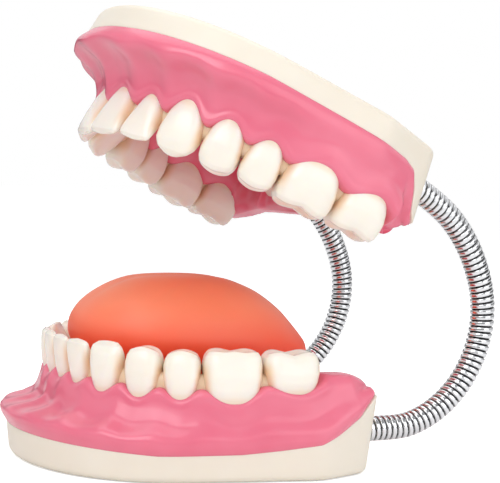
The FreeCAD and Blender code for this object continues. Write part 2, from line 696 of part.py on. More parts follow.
def add_link(number, side):
    """Build one gooseneck link: a ball at its own hinge and a socket for the next one."""
    y, z, heading = hinge_frames()[number - 1]
    x = size("hose_spread") if side == "left" else -size("hose_spread")
    turn = math.radians(heading)
    direction = Rotation(Vector(0, 0, 1), Vector(0, math.cos(turn), math.sin(turn)))
    hinge = Placement(Vector(x, y, z), direction)
    name = f"{side}_gooseneck_link_{number}"
    barrel = cylinder(f"{name}_barrel", ref("hose_radius"), f"{ref('link_length')} - 2 * {ref('link_gap')}",
                      along(hinge, size("link_gap")))
    body = fuse(f"{name}_solid", [barrel, ball(f"{name}_ball", hinge)])
    socket = ball(f"{name}_socket", along(hinge, size("link_length")), ref("ball_gap"))
    return cut(name, body, socket)


# ---------------------------------------------------------------- the whole model

def build_jaw(jaw):
    """Build every piece of one jaw and return the pieces to write."""
    body = add_base(jaw)
    pieces = [add_gum(jaw, body), finish_base(jaw, body), add_plate(jaw), add_plate_screws(jaw),
              add_carrier(jaw), add_grub_screws(jaw)]
    pieces += add_teeth(jaw)
    pieces += [add_end_fitting(jaw, side) for side in ("left", "right")]
    return pieces


def check(pieces):
    """Stop if any object failed or any piece is not a whole valid solid."""
    for item in document.Objects:
        if "Invalid" in item.State or "Error" in item.State:
            raise RuntimeError(f"{item.Label} failed: {item.State}")
    for item in pieces:
        if item.Shape.isNull() or not item.Shape.isValid() or not item.Shape.Solids:
            raise RuntimeError(f"{item.Label} is not a valid solid")


def main():
    """Build the typodont and write one file for each piece."""
    pieces = []
    for jaw in JAWS:
        pieces += build_jaw(jaw)
    pieces.append(add_tongue())
    for number in range(1, LINKS + 1):
        pieces += [add_link(number, side) for side in ("left", "right")]
    document.recompute()
    check(pieces)
    os.makedirs("parts", exist_ok=True)
    for item in pieces:
        item.Shape.exportStep(f"parts/{item.Label}.step")
    print(len(pieces), "pieces written")


main()
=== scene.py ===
"""Looks of the large teaching typodont: moulded vinyl jaws on two bent chrome goosenecks.

Each jaw is shaped plate-down in millimetres (plate at z = 0, biting edges near z = 40, front
teeth to -Y) and then placed in metres: the lower jaw as it is, the upper jaw turned over onto
its own mount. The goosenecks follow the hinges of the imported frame.
"""
import json
import logging
import math
from dataclasses import dataclass, field
from enum import Enum

import bmesh
import bpy
import numpy as np
from mathutils import Matrix, Vector


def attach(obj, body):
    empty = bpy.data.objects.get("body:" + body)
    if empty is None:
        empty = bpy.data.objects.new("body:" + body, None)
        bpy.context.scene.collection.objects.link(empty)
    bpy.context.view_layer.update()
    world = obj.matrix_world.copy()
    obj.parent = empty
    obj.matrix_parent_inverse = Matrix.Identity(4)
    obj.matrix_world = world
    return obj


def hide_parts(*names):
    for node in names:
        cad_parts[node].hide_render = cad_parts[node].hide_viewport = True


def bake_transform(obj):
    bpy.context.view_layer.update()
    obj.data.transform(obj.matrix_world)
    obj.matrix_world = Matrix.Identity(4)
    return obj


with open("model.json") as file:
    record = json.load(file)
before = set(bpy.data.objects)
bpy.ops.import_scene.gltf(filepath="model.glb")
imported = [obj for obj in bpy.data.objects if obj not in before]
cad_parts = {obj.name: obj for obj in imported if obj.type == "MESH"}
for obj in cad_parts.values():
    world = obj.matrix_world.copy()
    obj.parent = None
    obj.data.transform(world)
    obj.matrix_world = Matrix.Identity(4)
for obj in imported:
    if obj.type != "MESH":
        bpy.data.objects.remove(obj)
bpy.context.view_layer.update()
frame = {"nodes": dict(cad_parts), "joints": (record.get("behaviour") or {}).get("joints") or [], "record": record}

LOG = logging.getLogger("typodont")
MM = 0.001
TURN = 2 * math.pi


class Side(Enum):
    """Side of the mouth, with the sign of its X in the row frame."""

    LEFT = 1
    RIGHT = -1


class ToothKind(Enum):
    """Family of a crown, which decides how its top is carved."""

    INCISOR = "incisor"
    CANINE = "canine"
    PREMOLAR = "premolar"
    MOLAR = "molar"


# ---------------------------------------------------------------- small tools

def smoothstep(low: float, high: float, value: np.ndarray) -> np.ndarray:
    """Ease from 0 at low to 1 at high.

    Args:
        low: value where the ease starts.
        high: value where it ends.
        value: the values to ease.

    Returns:
        The eased values, from 0 to 1.
    """
    share = np.clip((np.asarray(value, float) - low) / (high - low), 0.0, 1.0)
    return share * share * (3.0 - 2.0 * share)


def signed_power(value: np.ndarray, power: float) -> np.ndarray:
    """Raise the size of a number to a power and keep its sign."""
    return np.sign(value) * np.abs(value) ** power


def columns(at: np.ndarray, walk: np.ndarray, line: np.ndarray) -> np.ndarray:
    """Return the points at distances along a line whose walked distances are known."""
    return np.column_stack([np.interp(at, walk, line[:, k]) for k in (0, 1)])


def bell(value: np.ndarray, spread: float) -> np.ndarray:
    """Return a bell curve of height 1 at 0 with the given spread."""
    return np.exp(-(np.asarray(value, float) / spread) ** 2)


def hermite(u: float, start: np.ndarray, end: np.ndarray, leave: np.ndarray,
            arrive: np.ndarray) -> np.ndarray:
    """Return the point at a share u of a cubic from start to end with the given end slopes."""
    return ((2 * u**3 - 3 * u**2 + 1) * start + (3 * u**2 - 2 * u**3) * end
            + (u**3 - 2 * u**2 + u) * leave + (u**3 - u**2) * arrive)


def through(marks: np.ndarray, counts: list[int]) -> np.ndarray:
    """Run smooth curves through rings of marks.

    Args:
        marks: K rings of N points, as an array (K, N, 3).
        counts: steps of each of the K - 1 stretches.

    Returns:
        All rings along the curves, as an array (rows, N, 3).
    """
    reach = np.linalg.norm(np.diff(marks, axis=0), axis=2)[..., None] + 1e-6
    slope = np.diff(marks, axis=0) / reach
    inner = (slope[:-1] * reach[1:] + slope[1:] * reach[:-1]) / (reach[1:] + reach[:-1])
    tangents = np.concatenate([slope[:1], inner, slope[-1:]])
    rows = []
    for index, steps in enumerate(counts):
        for step in range(steps):
            rows.append(hermite(step / steps, marks[index], marks[index + 1],
                                reach[index] * tangents[index], reach[index] * tangents[index + 1]))
    rows.append(marks[-1])
    return np.array(rows)


def skin(name: str, points: np.ndarray, place: Matrix, finish: "Finish",
         values: dict[str, np.ndarray] | None = None) -> bpy.types.Object:
    """Make a closed smooth piece from rings of points.

    A grid is laid over the rings, its sides are joined and its first and last rings close at
    their poles.

    Args:
        name: name of the new piece.
        points: rings in millimetres, as an array (rings, round, 3).
        place: placement of the drawing, without its scale.
        finish: finish of the whole piece.
        values: one number for each point, by attribute name.

    Returns:
        The new piece.
    """
    rings, around = points.shape[:2]
    bm = bmesh.new()
    bmesh.ops.create_grid(bm, x_segments=around, y_segments=rings - 1, size=1.0)
    mesh = bpy.data.meshes.new(name)
    bm.to_mesh(mesh)
    flat = np.empty(len(mesh.vertices) * 3, np.float32)
    mesh.vertices.foreach_get("co", flat)
    flat = flat.reshape(-1, 3)
    column = np.rint((flat[:, 0] + 1) / 2 * around).astype(int) % around
    row = np.rint((flat[:, 1] + 1) / 2 * (rings - 1)).astype(int)
    turn = np.array(place.to_3x3())
    placed = points[row, column] * MM @ turn.T + np.array(place.translation)
    mesh.vertices.foreach_set("co", placed.astype(np.float32).ravel())
    for label, numbers in (values or {}).items():
        layer = mesh.attributes.new(label, "FLOAT", "POINT")
        layer.data.foreach_set("value", numbers[row, column].astype(np.float32))
    bm.clear()
    bm.from_mesh(mesh)
    bmesh.ops.remove_doubles(bm, verts=bm.verts, dist=1e-7)
    bmesh.ops.recalc_face_normals(bm, faces=bm.faces)
    for face in bm.faces:
        face.smooth = True
    bm.to_mesh(mesh)
    bm.free()
    piece = bpy.data.objects.new(name, mesh)
    bpy.context.scene.collection.objects.link(piece)
    mesh.materials.append(finish.material())
    return piece


# ---------------------------------------------------------------- finishes

def linear(colour: str) -> tuple[float, float, float, float]:
    """Turn an sRGB hex colour such as EFE3CC into linear RGBA."""
    parts = [int(colour[i:i + 2], 16) / 255 for i in (0, 2, 4)]
    return (*(c / 12.92 if c <= 0.04045 else ((c + 0.055) / 1.055) ** 2.4 for c in parts), 1.0)


def feed(tree: bpy.types.NodeTree, socket: bpy.types.NodeSocket, value: object) -> None:
    """Link an input to the output socket that feeds it, or set its plain value."""
    if isinstance(value, bpy.types.NodeSocket):
        tree.links.new(value, socket)
    else:
        socket.default_value = value


def add_node(tree: bpy.types.NodeTree, kind: str, sockets: dict | None = None,
             **settings: object) -> bpy.types.Node:
    """Add a shader node with its settings, its values and its links.

    Args:
        tree: node tree to add to.
        kind: node type, such as ShaderNodeTexNoise.
        sockets: value of each input, or the output socket that feeds it, by name or number.
        settings: properties of the node.

    Returns:
        The new node.
    """
    node = tree.nodes.new(kind)
    for key, value in settings.items():
        setattr(node, key, value)
    for key, value in (sockets or {}).items():
        feed(tree, node.inputs[key], value)
    return node


@dataclass(frozen=True)
class Finish:
    """A moulded plastic: its colours, gloss, softness to light and surface texture."""

    name: str
    slot: str
    base: str
    shade: str
    roughness: float
    scatter: float = 0.0
    radius: tuple[float, float, float] = (1.0, 0.4, 0.2)
    scatter_mm: float = 3.0
    ior: float = 1.5
    coat: float = 0.0
    blotch_mm: float = 22.0
    grain_mm: float = 0.9
    grain_depth: float = 0.02
    shade_from: str = ""
    deep: str = ""

    def material(self) -> bpy.types.Material:
        """Return the material, made once."""
        found = bpy.data.materials.get(self.name)
        if found:
            return found
        made = bpy.data.materials.new(self.name)
        made.use_nodes = True
        self.dress(made)
        return made

    def shaded(self, tree: bpy.types.NodeTree, colour: object) -> object:
        """Return the colour, mixed towards the deep one, a painted shade, where the mesh's own values say so."""
        if not self.shade_from:
            return colour
        mark = add_node(tree, "ShaderNodeAttribute", attribute_name=self.shade_from)
        mix = {"Factor": mark.outputs["Fac"], 6: colour, 7: linear(self.deep)}
        return add_node(tree, "ShaderNodeMix", mix, data_type="RGBA").outputs[2]

    def dress(self, made: bpy.types.Material) -> None:
        """Fill in the nodes of a moulded plastic."""
        tree = made.node_tree
        shader = tree.nodes["Principled BSDF"]
        place = add_node(tree, "ShaderNodeTexCoord").outputs["Object"]
        # slow change of colour, as pigment and wall thickness vary over a moulding
        blotch = add_node(tree, "ShaderNodeTexNoise", {"Vector": place, "Scale": 1 / (self.blotch_mm * MM),
                                                       "Detail": 2.0, "Roughness": 0.5})
        spread = add_node(tree, "ShaderNodeMapRange", {"Value": blotch.outputs[0], "From Min": 0.35,
                                                       "From Max": 0.75, "To Max": 0.55})
        colour = add_node(tree, "ShaderNodeMix", {"Factor": spread.outputs[0], 6: linear(self.base),
                                                  7: linear(self.shade)}, data_type="RGBA").outputs[2]
        feed(tree, shader.inputs["Base Color"], self.shaded(tree, colour))
        # skin of the mould: fine ripple, drawn coarser than it is so that it shows
        grain = add_node(tree, "ShaderNodeTexNoise", {"Vector": place, "Scale": 1 / (self.grain_mm * MM),
                                                      "Detail": 3.0})
        bump = add_node(tree, "ShaderNodeBump", {"Height": grain.outputs[0], "Strength": 0.35,
                                                 "Distance": self.grain_depth * MM})
        tree.links.new(bump.outputs[0], shader.inputs["Normal"])
        shader.inputs["Roughness"].default_value = self.roughness
        shader.inputs["IOR"].default_value = self.ior
        shader.inputs["Coat Weight"].default_value = self.coat
        shader.inputs["Coat Roughness"].default_value = 0.12
        shader.inputs["Subsurface Weight"].default_value = self.scatter
        shader.inputs["Subsurface Radius"].default_value = self.radius
        shader.inputs["Subsurface Scale"].default_value = self.scatter_mm * MM


@dataclass(frozen=True)
class MetalFinish(Finish):
    """A plated metal: bright, with fine draw marks that soften its reflections."""

    scratch_mm: float = 0.5

    def dress(self, made: bpy.types.Material) -> None:
        """Fill in the nodes of a plated metal."""
        tree = made.node_tree
        shader = tree.nodes["Principled BSDF"]
        place = add_node(tree, "ShaderNodeTexCoord").outputs["Object"]
        marks = add_node(tree, "ShaderNodeTexNoise", {"Vector": place, "Scale": 1 / (self.scratch_mm * MM),
                                                      "Detail": 4.0})
        gloss = add_node(tree, "ShaderNodeMapRange", {"Value": marks.outputs[0], "To Min": self.roughness,
                                                      "To Max": self.roughness * 2.2})
        tree.links.new(gloss.outputs[0], shader.inputs["Roughness"])
        feed(tree, shader.inputs["Base Color"], self.shaded(tree, linear(self.base)))
        shader.inputs["Metallic"].default_value = 1.0


# rotational moulded soft vinyl, satin: the cream base shells, with a soft wide highlight
IVORY_VINYL = Finish("satin_moulded_ivory_vinyl", "ivory_shell", "EFE7D9", "E7DCCA", 0.42, 0.12,
                     (1.0, 0.7, 0.45), 2.5, grain_mm=1.1)
# injection moulded cover plates, a little greyer and duller than the shells
IVORY_PLATE = Finish("moulded_ivory_cover_plate", "ivory_plate", "EAE1D1", "E1D6C3", 0.5, grain_mm=0.8)
# dipped glossy vinyl gum: strong pink, wet highlights, red where light passes through it; painted shade turns its
# inner walls and the floor of the mouth deep crimson
PINK_VINYL = Finish("glossy_dipped_pink_vinyl", "pink_gum", "EC7A92", "E0607C", 0.26, 0.18,
                    (1.0, 0.28, 0.32), 3.0, coat=0.25, grain_depth=0.03,
                    shade_from="depth", deep="D23D58")
# cast resin teeth, glossy and slightly clear; painted shade makes them warm peach where they meet, at the necks
# and in the hollows between the cusps
TOOTH_RESIN = Finish("cast_ivory_tooth_resin", "ivory_teeth", "F8F2E7", "F1E9DB", 0.24, 0.25,
                     (1.0, 0.62, 0.32), 3.5, coat=0.2, grain_depth=0.015,
                     shade_from="recess", deep="EDC79C")
# soft coral vinyl tongue, matt and lighter on top; painted shade makes it a deeper red orange low down
TONGUE_VINYL = Finish("soft_coral_vinyl", "orange_tongue", "FF8C68", "FA7C58", 0.45, 0.3,
                      (1.0, 0.25, 0.1), 4.0, shade_from="depth", deep="FF3A12", grain_mm=1.3)
# wound chromed steel strip: mirror bands, with painted shade turning the grooves between the turns near black
CHROME_STRIP = MetalFinish("chromed_wound_steel_strip", "chrome_hose", "EDEEF1", "C8C8CC", 0.06,
                           shade_from="seam", deep="0A090B")
# zinc plated screws, grey and a little dull
ZINC_SCREW = MetalFinish("zinc_plated_screw", "steel_screws", "B9BBC0", "B9BBC0", 0.24)


# ---------------------------------------------------------------- jaws

@dataclass(frozen=True)
class Tooth:
    """One crown: its sizes in millimetres and where its neck and papilla stand."""

    name: str
    kind: ToothKind
    width: float
    depth: float
    top: float
    neck: float
    papilla: float
    lean: float = 0.0
    cusps: tuple[tuple[float, float, float], ...] = ()


MOLAR_CUSPS = ((-0.27, 0.27, 0.0), (0.27, 0.26, -0.2), (-0.25, -0.25, -0.1), (0.26, -0.25, -0.3))
LOWER_FIRST_MOLAR_CUSPS = ((-0.33, 0.26, -0.1), (0.0, 0.28, 0.0), (0.33, 0.22, -0.5), (-0.24, -0.26, 0.1),
                           (0.24, -0.26, 0.0))
PREMOLAR_CUSPS = ((0.0, 0.24, 0.0), (0.0, -0.27, -0.8))


@dataclass(frozen=True)
class JawForm:
    """Sizes of one jaw in its plate-down drawing, in millimetres."""

    name: str
    front: float
    rear: float
    half_width: float
    nose: float
    heel_start: float
    rear_half: float
    row_half: float
    row_front: float
    row_depth: float
    floor: float
    rim: tuple[tuple[float, float], ...]
    teeth: tuple[Tooth, ...]
    pad_height: float
    pad_drop: float
    vault: bool
    draft: float = math.radians(6.5)
    heel: float = 26.0
    fullness: float = 2.33
    wall: float = 3.0
    edge_round: float = 2.5
    centre_y: float = 8.0


LOWER = JawForm(
    "lower", 55.0, 46.0, 60.5, 52.0, 27.0, 55.0, 51.0, 38.5, 77.0, 14.0,
    ((-60, 11.4), (-42, 10.2), (-25, 9.0), (0, 9.3), (12, 10.4), (25, 12.0), (31, 15.0), (39, 19.6),
     (45, 25.6), (48, 26.0)),
    (Tooth("central_incisor", ToothKind.INCISOR, 9.6, 9.5, 40.8, 27.6, 29.6, 2.2),
     Tooth("lateral_incisor", ToothKind.INCISOR, 10.1, 10.0, 40.6, 27.3, 29.3, 2.0),
     Tooth("canine", ToothKind.CANINE, 11.8, 11.5, 41.2, 26.2, 29.0, 1.0),
     Tooth("first_premolar", ToothKind.PREMOLAR, 12.0, 12.0, 40.8, 25.7, 28.4, cusps=PREMOLAR_CUSPS),
     Tooth("second_premolar", ToothKind.PREMOLAR, 12.1, 12.5, 40.2, 25.6, 28.0, cusps=PREMOLAR_CUSPS),
     Tooth("first_molar", ToothKind.MOLAR, 18.9, 15.5, 40.5, 24.9, 28.2, cusps=LOWER_FIRST_MOLAR_CUSPS),
     Tooth("second_molar", ToothKind.MOLAR, 18.6, 15.0, 40.2, 27.6, 30.4, cusps=MOLAR_CUSPS)),
    pad_height=32.4, pad_drop=3.5, vault=False)

UPPER = JawForm(
    "upper", 59.0, 46.0, 60.5, 55.0, 22.0, 54.0, 54.0, 41.5, 85.5, 12.0,
    ((-60, 9.6), (-50, 9.2), (-20, 8.6), (10, 9.0), (33, 9.6), (38, 11.0), (41, 16.0), (43, 23.0),
     (45, 25.6), (48, 26.0)),
    (Tooth("central_incisor", ToothKind.INCISOR, 16.4, 11.0, 40.9, 24.6, 28.8, 2.6),
     Tooth("lateral_incisor", ToothKind.INCISOR, 12.2, 10.0, 40.3, 25.2, 28.6, 2.4),
     Tooth("canine", ToothKind.CANINE, 14.2, 12.0, 41.2, 23.6, 28.6, 1.2),
     Tooth("first_premolar", ToothKind.PREMOLAR, 13.2, 13.5, 40.8, 24.8, 28.6, cusps=PREMOLAR_CUSPS),
     Tooth("second_premolar", ToothKind.PREMOLAR, 12.8, 13.5, 40.4, 25.4, 28.4, cusps=PREMOLAR_CUSPS),
     Tooth("first_molar", ToothKind.MOLAR, 19.3, 16.5, 40.4, 25.2, 28.6, cusps=MOLAR_CUSPS),
     Tooth("second_molar", ToothKind.MOLAR, 18.1, 16.0, 39.4, 25.4, 28.4, cusps=MOLAR_CUSPS)),
    pad_height=34.0, pad_drop=6.5, vault=True)


class Row:
    """The tooth row of a jaw: a smooth arch with straight sides behind it."""

    def __init__(self, form: JawForm) -> None:
        """Walk the row of a jaw and note where its teeth stand."""
        self.form = form
        angle = np.linspace(0, math.pi / 2, 900)
        power = 2 / form.fullness
        x = form.row_half * np.sin(angle) ** power
        y = form.row_depth - form.row_front - form.row_depth * np.cos(angle) ** power
        y_end = form.rear + 4.0
        self.points = np.column_stack([np.append(x, form.row_half), np.append(y, y_end)])
        step = np.linalg.norm(np.diff(self.points, axis=0), axis=1)
        self.walk = np.concatenate([[0.0], np.cumsum(step)])
        self.middles = []
        self.edges = [0.0]
        for tooth in form.teeth:
            self.middles.append(self.edges[-1] + tooth.width / 2)
            self.edges.append(self.edges[-1] + tooth.width)

    def at(self, distance: float) -> tuple[np.ndarray, np.ndarray]:
        """Return the point at a distance along the row and the outward direction there."""
        point = np.array([np.interp(distance, self.walk, self.points[:, k]) for k in (0, 1)])
        ahead = np.array([np.interp(distance + 1.0, self.walk, self.points[:, k]) for k in (0, 1)])
        behind = np.array([np.interp(max(distance - 1.0, -distance if distance < 1 else 0.0), self.walk,
                                     self.points[:, k]) for k in (0, 1)])
        if distance < 1.0:
            behind[0] = -np.interp(1.0 - distance, self.walk, self.points[:, 0])
            behind[1] = np.interp(1.0 - distance, self.walk, self.points[:, 1])
        along = (ahead - behind) / np.linalg.norm(ahead - behind)
        return point, np.array([along[1], -along[0]])

    def per_tooth(self, distance: np.ndarray, numbers: list[float]) -> np.ndarray:
        """Spread one number for each tooth smoothly along the row."""
        return np.interp(np.abs(distance), self.middles, numbers)

    def margin(self, distance: np.ndarray) -> np.ndarray:
        """Return the height of the scalloped gum line along the row."""
        away = np.abs(distance)
        teeth = self.form.teeth
        height = np.full_like(away, teeth[-1].papilla)
        mates = zip((teeth[0], *teeth), teeth, (*teeth[1:], teeth[-1]), self.edges, self.edges[1:])
        for before, tooth, after, start, end in mates:
            inside = (away >= start) & (away <= end)
            share = (away - start) / (end - start)
            edge = (np.where(share < 0.5, before.papilla, after.papilla) + tooth.papilla) / 2
            rise = 0.5 - 0.5 * np.cos(math.pi * np.clip(np.abs(2 * share - 1), 0, 1) ** 1.15)
            height = np.where(inside, tooth.neck + (edge - tooth.neck) * rise, height)
        return height

    def bumps(self, distance: np.ndarray) -> np.ndarray:
        """Return the swell of the gum over the roots, from about -0.4 to 1."""
        away = np.abs(distance)
        total = np.zeros_like(away)
        for tooth, middle in zip(self.form.teeth, self.middles):
            total += bell(away - middle, 0.30 * tooth.width)
        return total - 0.4


class Jaw:
    """One jaw: its base shell, gum, tooth carrier and crowns."""

    AROUND = 560     # points round each ring of the base and the gum
    CORNER = 9.0     # radius of the gum ridge at its rear corners

    def __init__(self, form: JawForm, place: Matrix, side_sign: int) -> None:
        """Keep the form and the placement of a jaw, and draw its outline."""
        self.form = form
        self.place = place
        self.side_sign = side_sign
        self.body = f"{form.name}_jaw"
        self.row = Row(form)
        self.outline, self.normals = self.draw_outline()

    def draw_outline(self) -> tuple[np.ndarray, np.ndarray]:
        """Return the outline of the plate and its outward directions, from the middle rear round."""
        form = self.form
        centre = np.array([0.0, form.nose - form.front])
        side = np.array([form.half_width, form.heel_start])
        far = side - centre
        start = math.atan2(far[1], far[0]) - math.acos(form.nose / np.linalg.norm(far))
        arc = np.linspace(start, -math.pi / 2, 200)
        nose = centre + form.nose * np.column_stack([np.cos(arc), np.sin(arc)])
        half = np.vstack([[0, form.rear], [form.rear_half, form.rear], side, nose])
        loop = np.vstack([half, (half * [-1, 1])[-2:0:-1], half[:1]])
        dense = self.resample(loop, 2400)
        length = np.linalg.norm(np.diff(loop, axis=0), axis=1).sum()
        waves = np.fft.fftfreq(len(dense), length / len(dense))
        soft = np.exp(-2 * (math.pi * waves * 2.6) ** 2)
        smooth = np.column_stack([np.fft.ifft(np.fft.fft(dense[:, k]) * soft).real for k in (0, 1)])
        points = self.resample(np.vstack([smooth, smooth[:1]]), self.AROUND)
        ahead = np.roll(points, -1, axis=0) - np.roll(points, 1, axis=0)
        normals = np.column_stack([ahead[:, 1], -ahead[:, 0]]) / np.linalg.norm(ahead, axis=1)[:, None]
        outward = np.sign((normals * (points - [0, form.centre_y])).sum(axis=1).mean())
        return points, normals * outward

    @staticmethod
    def resample(loop: np.ndarray, count: int) -> np.ndarray:
        """Return evenly spaced points of a closed loop whose first point is repeated at its end."""
        walk = np.concatenate([[0], np.cumsum(np.linalg.norm(np.diff(loop, axis=0), axis=1))])
        at = np.linspace(0, walk[-1], count, endpoint=False)
        return columns(at, walk, loop)

    def ring(self, inset: np.ndarray | float, height: np.ndarray | float) -> np.ndarray:
        """Return a ring of the drafted wall, moved in by inset at a height."""
        rise = np.broadcast_to(np.asarray(height, float), self.AROUND)
        out = rise * math.tan(self.form.draft) - inset
        flat = self.outline + self.normals * np.broadcast_to(out, self.AROUND)[:, None]
        return np.column_stack([flat, rise])

    def pole(self, height: float) -> np.ndarray:
        """Return a ring shrunk to a point at the centre."""
        return np.tile([0.0, self.form.centre_y, height], (self.AROUND, 1))

    def rim_height(self) -> np.ndarray:
        """Return the height of the ivory edge at each point round the outline."""
        spots, heights = zip(*self.form.rim)
        return np.interp(self.outline[:, 1], spots, heights)

    def add_base(self) -> bpy.types.Object:
        """Make the ivory shell: plate recess, rounded foot, drafted wall and tucked top edge."""
        form = self.form
        rim = self.rim_height()
        bend = np.linspace(0, math.pi / 2, 7)
        rings = [self.pole(2.3), self.ring(form.wall + 0.3, 2.3), self.ring(form.wall, 2.0),
                 self.ring(form.wall - 0.05, 0.25), self.ring(form.wall - 0.3, 0.0)]
        rings += [self.ring(form.edge_round * (1 - math.sin(a)), form.edge_round * (1 - math.cos(a)))
                  for a in bend]
        low = form.edge_round
        rings += [self.ring(0.0, low + (rim - 0.5 - low) * share) for share in (0.15, 0.4, 0.65, 0.85, 1.0)]
        rings += [self.ring(0.05, rim - 0.25), self.ring(0.3, rim - 0.02), self.ring(0.9, rim),
                  self.ring(3.0, rim - 0.6), self.ring(9.0, rim - 2.5), self.pole(6.0)]
        piece = skin(f"{form.name}_base_shell", np.array(rings), self.place, IVORY_VINYL)
        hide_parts(f"{form.name}_base")
        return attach(piece, self.body)

    def polar(self, points: np.ndarray) -> tuple[np.ndarray, np.ndarray]:
        """Return the angle, from the front towards +X, and the distance of points from the centre."""
        away = points - [0.0, self.form.centre_y]
        return np.arctan2(away[:, 0], -away[:, 1]), np.linalg.norm(away, axis=1)

    def crest(self) -> dict[str, np.ndarray]:
        """Work out the ridge of the gum at each direction round the centre.

        Returns:
            By name: direction, radius and place of the crest line, signed distance along the
            row, how squarely the ray meets the row, and the shares of pad and rear ridge.
        """
        form, row = self.form, self.row
        rear_y = form.rear - 2.5
        keep = row.points[:, 1] < rear_y - self.CORNER - 0.5
        turn = np.linspace(0, math.pi / 2, 12)
        corner = np.column_stack([form.row_half - self.CORNER * (1 - np.cos(turn)),
                                  rear_y - self.CORNER * (1 - np.sin(turn))])
        corner = np.vstack([corner, [[20.0, rear_y], [0.0, rear_y]]])
        half = np.vstack([row.points[keep], corner])
        loop = np.vstack([half, (half * [-1, 1])[-2:0:-1], half[:1]])
        dense = self.resample(loop, 4000)
        angle, radius = self.polar(dense)
        ray, _ = self.polar(self.outline)
        order = np.argsort(angle)
        crest_radius = np.interp(ray, angle[order], radius[order], period=TURN)
        ahead = np.roll(dense, -3, axis=0) - np.roll(dense, 3, axis=0)
        normal = np.column_stack([ahead[:, 1], -ahead[:, 0]]) / np.linalg.norm(ahead, axis=1)[:, None]
        away = (dense - [0.0, form.centre_y]) / radius[:, None]
        square = np.abs((normal * away).sum(axis=1))
        row_angle, _ = self.polar(row.points)
        distance = np.interp(np.abs(ray), row_angle, row.walk) * np.sign(ray)
        spot = np.column_stack([np.sin(ray), -np.cos(ray)]) * crest_radius[:, None] + [0, form.centre_y]
        last = row.edges[-1]
        return {"ray": ray, "radius": crest_radius, "spot": spot, "distance": distance,
                "square": np.clip(np.interp(ray, angle[order], square[order], period=TURN), 0.55, 1.0),
                "pad": smoothstep(last - 3.0, last + 2.5, np.abs(distance)),
                "rear": (1 - smoothstep(form.row_half - 16.0, form.row_half - 4.0, np.abs(spot[:, 0])))
                * (spot[:, 1] > 20)}

    def add_gum(self) -> bpy.types.Object:
        """Make the gum: flared foot, walls swollen over the roots, scalloped edge, pads and floor."""
        form, row = self.form, self.row
        crest = self.crest()
        rim = self.rim_height()
        distance, pad, rear, square = (crest[k] for k in ("distance", "pad", "rear", "square"))
        front = bell(distance, 30.0)
        half_neck = row.per_tooth(distance, [0.40 * t.depth for t in form.teeth])
        outer = (half_neck + 0.25) * (1 - pad) + 6.3 * pad
        outer = (outer * (1 - rear) + 2.6 * rear) / square
        inner = (half_neck + 0.25) * (1 - pad) + 7.2 * pad
        inner = (inner * (1 - rear) + 3.0 * rear) / square
        pad_top = form.pad_height - form.pad_drop * smoothstep(35.0, 46.0, crest["spot"][:, 1]) ** 1.3
        top = row.margin(distance) * (1 - pad) + pad_top * pad
        top = top * (1 - rear) + (form.heel + 0.9) * rear
        dome = np.maximum(pad, rear)
        gap = np.maximum(top - rim, 0.6)
        bumps = row.bumps(distance) * (1 - dome) * (1 - 0.5 * front)
        folds = bell(distance, 1.5) + 0.6 * bell(np.abs(distance) - 7.5, 1.6)
        tuck = 1.2 * smoothstep(37.0, 45.0, self.outline[:, 1])

        wall_foot = self.ring(0.0, rim)
        _, foot_radius = self.polar(wall_foot[:, :2])
        r_crest = crest["radius"]

        def at(radius: np.ndarray, height: np.ndarray) -> np.ndarray:
            flat = np.column_stack([np.sin(crest["ray"]), -np.cos(crest["ray"])])
            flat = flat * np.broadcast_to(radius, r_crest.shape)[:, None] + [0, form.centre_y]
            return np.column_stack([flat, np.broadcast_to(height, r_crest.shape)])

        r_margin = r_crest + outer
        r_margin = r_margin - dome * np.maximum(r_margin - foot_radius + 1.6 + tuck, 0.0)
        draft = math.tan(form.draft)
        lean = foot_radius + draft * gap * 0.25 - tuck
        mid = lean + (0.58 + (0.04 if form.vault else 0.20) * front) * (r_margin - lean)
        marks = [
            self.pole(7.0),
            self.ring(4.0 + tuck, rim - 2.2),
            self.ring(0.8 + tuck, rim - 0.6),
            self.ring(-0.05 + tuck, rim - 0.05),
            self.ring(-0.35 + tuck, rim + np.minimum(0.5, 0.15 * gap)),
            at(lean + 0.5 * smoothstep(1.0, 6.0, gap) + 1.4 * front + 0.1 * bumps, rim + 0.25 * gap),
            at(mid + 0.6 * bumps + 0.4 * folds, rim + 0.54 * gap),
            at(r_margin + 0.9 * (1 - dome) + 0.9 * front + 0.7 * bumps + 0.4 * folds + 0.3 * dome,
               top - np.minimum(3.4, 0.3 * gap) - 0.2 * dome * np.minimum(gap, 6)),
            at(r_margin + 0.62 * (1 - dome) - 0.9 * dome + 0.15 * bumps, top - 0.75 - 0.09 * dome * gap),
            at(r_margin - 0.15 - 2.3 * pad, top - 0.02 * dome * gap),
            at(r_crest + 0.3 * outer, top + 0.35),
            at(r_crest - 0.3 * inner, top + 0.35),
            at(r_crest - inner + 0.15 + 2.0 * pad, top - 0.02 * dome * gap),
            at(r_crest - inner - 0.55 + 0.5 * pad, top - 0.8 - 0.8 * pad),
        ]
        fall = top - form.floor
        r_inner = r_crest - inner
        if form.vault:
            marks += [at(r_inner - 2.2, top - 0.30 * fall), at(r_inner - 5.6, top - 0.62 * fall),
                      at(r_inner * 0.66, form.floor + 1.6), at(r_crest * 0.3, form.floor + 0.1)]
        else:
            marks += [at(r_inner - 1.5, top - 0.30 * fall), at(r_inner - 3.2, top - 0.65 * fall),
                      at(r_inner - 6.5 - 6 * rear, form.floor + 1.0), at(r_crest * 0.4, form.floor)]
        marks.append(self.pole(form.floor))
        counts = [1, 1, 2, 2, 5, 8, 8, 6, 4, 4, 4, 4, 4, 6, 7, 6, 5, 4]
        rings = through(np.array(marks), counts)
